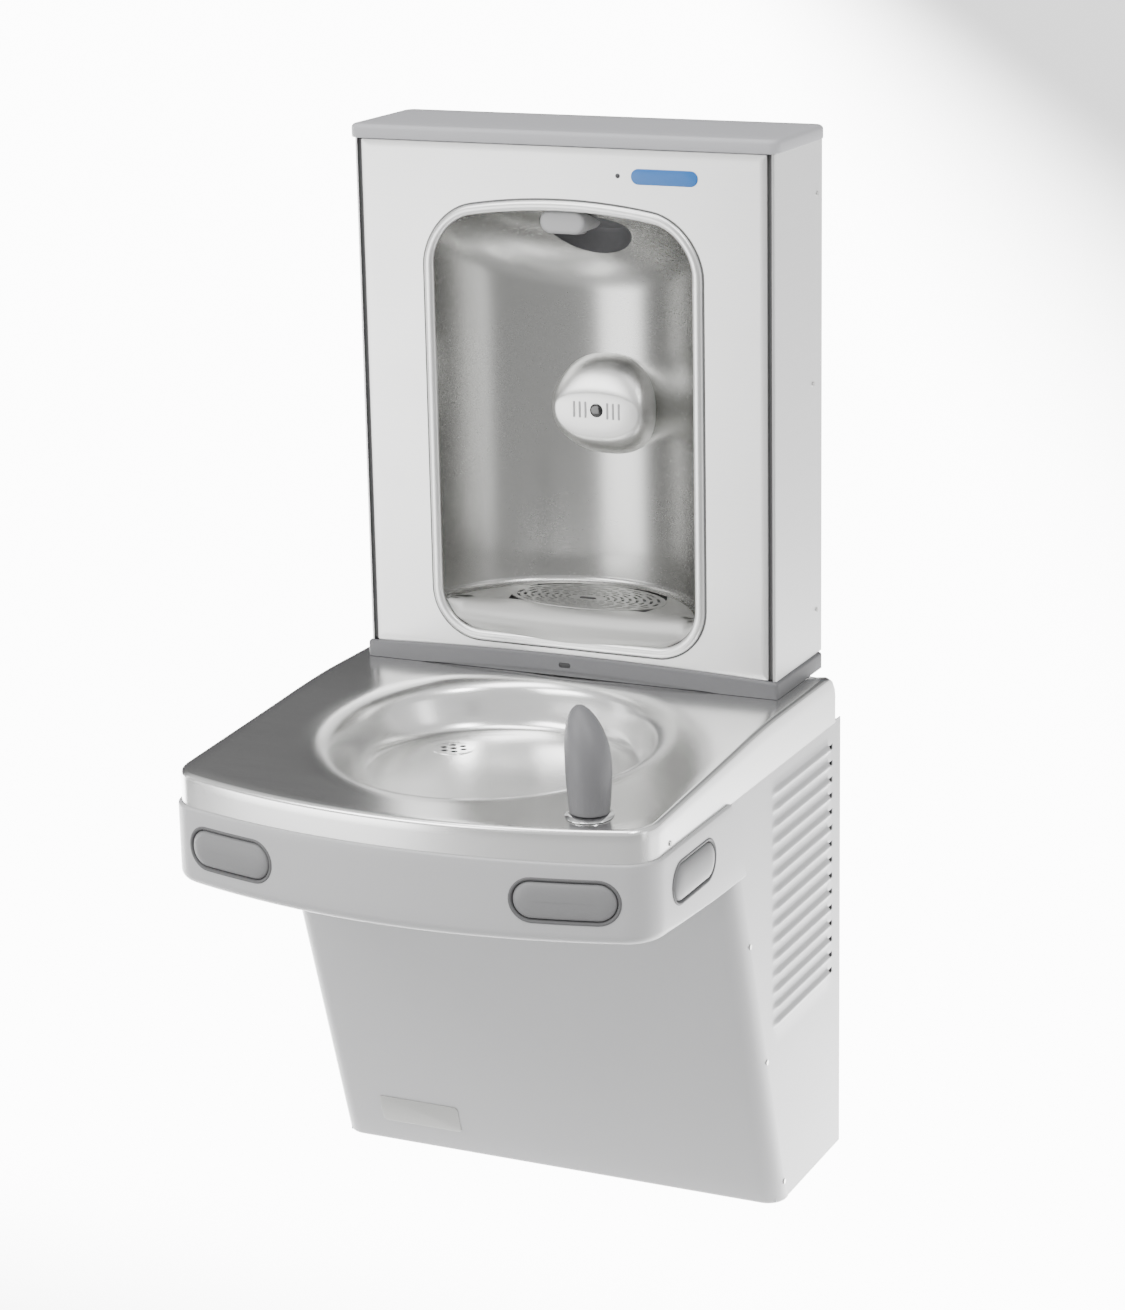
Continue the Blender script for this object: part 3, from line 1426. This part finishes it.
    def bezel(self) -> None:
        """Rolls the bezel round the opening, with the thin seal behind its outer edge."""
        y = self.tower.face
        hole = self.tower.opening
        section = [(10.0, 0.1), (10.0, -0.8), (9.5, -2.0), (8.4, -3.0), (6.8, -3.6), (5.0, -3.8), (3.2, -3.6),
                   (1.6, -3.0), (0.5, -2.0), (0.0, -0.8), (0.0, 1.5), (3.5, 1.5), (3.5, 0.1), (10.0, 0.1)]
        placed(Shape().loft([hole(g, y + d) for g, d in section]).made("bezel", crease=50), PLATE_STEEL,
               stands_for=["alcove_bezel"])
        seal = [(9.0, -0.05), (11.3, -0.05), (11.5, -0.4), (11.2, -0.8), (9.0, -0.8), (9.0, -0.05)]
        placed(Shape().loft([hole(g, y + d) for g, d in seal]).made("bezel_seal"), SEAL_GREY)

    def grille(self) -> None:
        """Stamps the grille: staggered curved slots in rings round a small centre slot."""
        reach = [0.0, 6.0, 12.0, 17.0]
        slots: set[int] = set()
        for i in range(8):
            reach += [20.0 + 7.3 * i, 23.2 + 7.3 * i]
            slots.add(len(reach) - 2)
        reach += [78.0, 80.0]
        count = 160
        rings = []
        for r in reach:
            ring = []
            for i in range(count):
                x, y = r * math.cos(math.tau * i / count), r * math.sin(math.tau * i / count)
                ring.append((x, -74 + y * (0.46 if y < 0 else 0.60), self.floor_z + 0.5))
            rings.append(ring)
        shape = Shape().loft(rings, skip=lambda k, i: k in slots and (i + 5 * (k // 2)) % 10 < 7)
        shape.away_from((0, -74, 0))
        placed(thickened(shape.made("slotted_grille", closed=False, crease=30), 1.1), PAN_STEEL,
               stands_for=["alcove_grille"])
        slot = [[(x, y - 74, self.floor_z + z) for x, y in pill(17 - i, 5 - i)] for z, i in ((0.4, 0), (0.9, 0),
                                                                                          (1.0, 0.5))]
        placed(Shape().loft(slot, capped=True).made("grille_slot"), BLACK_RUBBER)
        under = [[(r * math.cos(math.tau * i / 64), -74 + 0.5 * r * math.sin(math.tau * i / 64),
                   self.floor_z - 9.0)
                  for i in range(64)] for r in (0.0, 76.0)]
        placed(thickened(Shape().loft(under).away_from((0, -74, 0)).made("drip_dark", closed=False), 1.0),
               DARK_PLASTIC)

    def recess(self) -> None:
        """Moulds the shaded cup above the spout."""
        place = self.recess_place()
        rim = []
        for i in range(96):
            a = math.tau * i / 96
            z = 0.0
            for _ in range(12):
                spot = place @ Vector((43.7 * math.cos(a), 43.7 * math.sin(a), z))
                z += (self.vault(spot.x, spot.y) - spot.z) * 0.8
            rim.append((43.7 * math.cos(a), 43.7 * math.sin(a), z))
        rings = [[place @ Vector(p) for p in rim]]
        for r, z in ((43.7, 6.0), (42.5, 9.5), (38, 11.0), (0, 11.0)):
            rings.append([place @ Vector((r * x / 43.7, r * y / 43.7, z)) for x, y, _ in rim])
        shape = Shape().loft(rings).away_from(tuple(place @ Vector((0, 0, -10))))
        bmesh.ops.reverse_faces(shape.bm, faces=shape.bm.faces[:])
        placed(thickened(shape.made("recess_cup", closed=False), 0.9), RECESS_GREY,
               stands_for=["nozzle_recess"])

    def spout(self) -> None:
        """Moulds the pill-shaped spout that leaves the recess."""
        rings = []
        for inset, y in ((4.2, -118.2), (2.2, -117.9), (0.9, -117.0), (0.2, -115.6), (0.0, -113.6),
                         (0.0, -78.0)):
            rings.append([(x, y, z + self.spout_z) for x, z in pill(46 - 2 * inset, 22.6 - 2 * inset)])
        shape = Shape().loft(rings, capped=True)
        shape.trim((0, -62, 425.7), (0, 0.4433, 1.0), True)
        outlet = at(0, -84, self.spout_z - 15)
        shape.turned([(4.5, 0.4), (5.2, 0), (8.2, 0), (9, 0.8), (9, 8), (4.5, 8), (4.5, 0.4)], outlet, 40)
        placed(shape.made("spout"), SPOUT_GREY, stands_for=["nozzle"])

    def sensor(self) -> None:
        """Presses the sensor's pod, with its lens and plain bars."""
        middle = self.sensor_z
        steps = ((-6, 56, 52, 50), (-16, 54, 50, 48.5), (-22, 53, 48, 47), (-27, 52.6, 45.5, 45),
                 (-31.5, 52, 42, 42.5),
                 (-35.5, 51.4, 37.6, 39.8), (-39, 50.4, 32.4, 37), (-42, 49, 27, 34), (-44.4, 47.2, 22, 31),
                 (-45.8, 45, 18.4, 28.2), (-46.4, 42.5, 15.6, 25.6), (-46.6, 24, 9, 14), (-46.6, 9, 3, 5))
        rings = []
        for y, wide, high, deep in steps:
            ring = []
            for i in range(96):
                a = math.tau * i / 96
                c, s = math.cos(a), math.sin(a)
                power = 0.86 if wide > 20 else 1.0
                tall = high if s > 0 else deep
                ring.append((wide * math.copysign(abs(c) ** power, c), y,
                             middle + tall * math.copysign(abs(s) ** power, s)))
            rings.append(ring)
        placed(Shape().loft(rings, capped=True).made("sensor_pod_shell", crease=60), POD_STEEL,
               stands_for=["sensor_pod"])
        eye = at(0, -20, middle) @ FACING_FRONT
        profile = [(0, 0), (7, 0), (7, 26.4), (6.4, 27.0), (4.5, 27.3), (0, 27.5)]
        placed(Shape().turned(profile, eye, 48).made("sensor_eye"), LENS, stands_for=["sensor_lens"])
        bars = Shape()
        for x in (-23.5, -17.5, -11.5, 11.5, 17.5, 23.5):
            bars.loft([[(x + px, y, middle + pz) for px, pz in rounded(-1.1 + i, -8 + i, 1.1 - i, 8 - i,
                                                                       1.0 - i)]
                       for y, i in ((-46.3, 0.0), (-46.75, 0.0), (-46.85, 0.3))], capped=True)
        placed(bars.made("sensor_bars"), SPOUT_GREY)

    def build(self) -> None:
        """Builds the alcove."""
        self.liner()
        self.pan()
        self.bezel()
        self.grille()
        self.recess()
        self.spout()
        self.sensor()


# ---------------------------------------------------------------- what the CAD part brings
@dataclass
class Carried:
    """The CAD nodes that stay: each gets its finish, and sheet edges are softened a little."""

    special: dict[str, Finish] = field(default_factory=lambda: {"tower_shell": SIDE_STEEL,
                                                                "tower_seals": SEAL_GREY})
    soft: dict[str, float] = field(default_factory=lambda: {
        "compressor": 2.0, "control_box": 2.0, "terminal_box": 1.0, "thermostat_box": 2.0, "regulator_body": 1.0,
        "solenoid_valves": 1.0, "wall_plate": 0.5, "fan_motor": 1.5, "chiller_tank": 2.0, "thermostat_knob": 0.8})

    def build(self) -> None:
        """Dresses every CAD node that is still shown."""
        slots = {p["node"]: p["material_slot"] for p in frame["record"]["subparts"]}
        for name, node in frame["nodes"].items():
            if node.hide_render:
                continue
            material = self.special.get(name, BY_SLOT[slots[name]]).material()
            for held in node.material_slots:
                held.link = "OBJECT"
                held.material = material
            if name in self.soft:
                softened(node, self.soft[name], 2)
            LOG.info("%s: CAD node in %s", name, material.name)


def main() -> None:
    """Builds the studio and every sub-assembly, and keeps the sizes."""
    logging.basicConfig(level=logging.INFO, format="%(name)s %(message)s")
    Studio().build()
    tower = Tower()
    for assembly in (Basin(), Bubbler(), Apron(), Cabinet(), tower, Alcove(tower), Carried()):
        LOG.info("building %s", type(assembly).__name__)
        assembly.build()


if __name__ == "__main__":
    main()
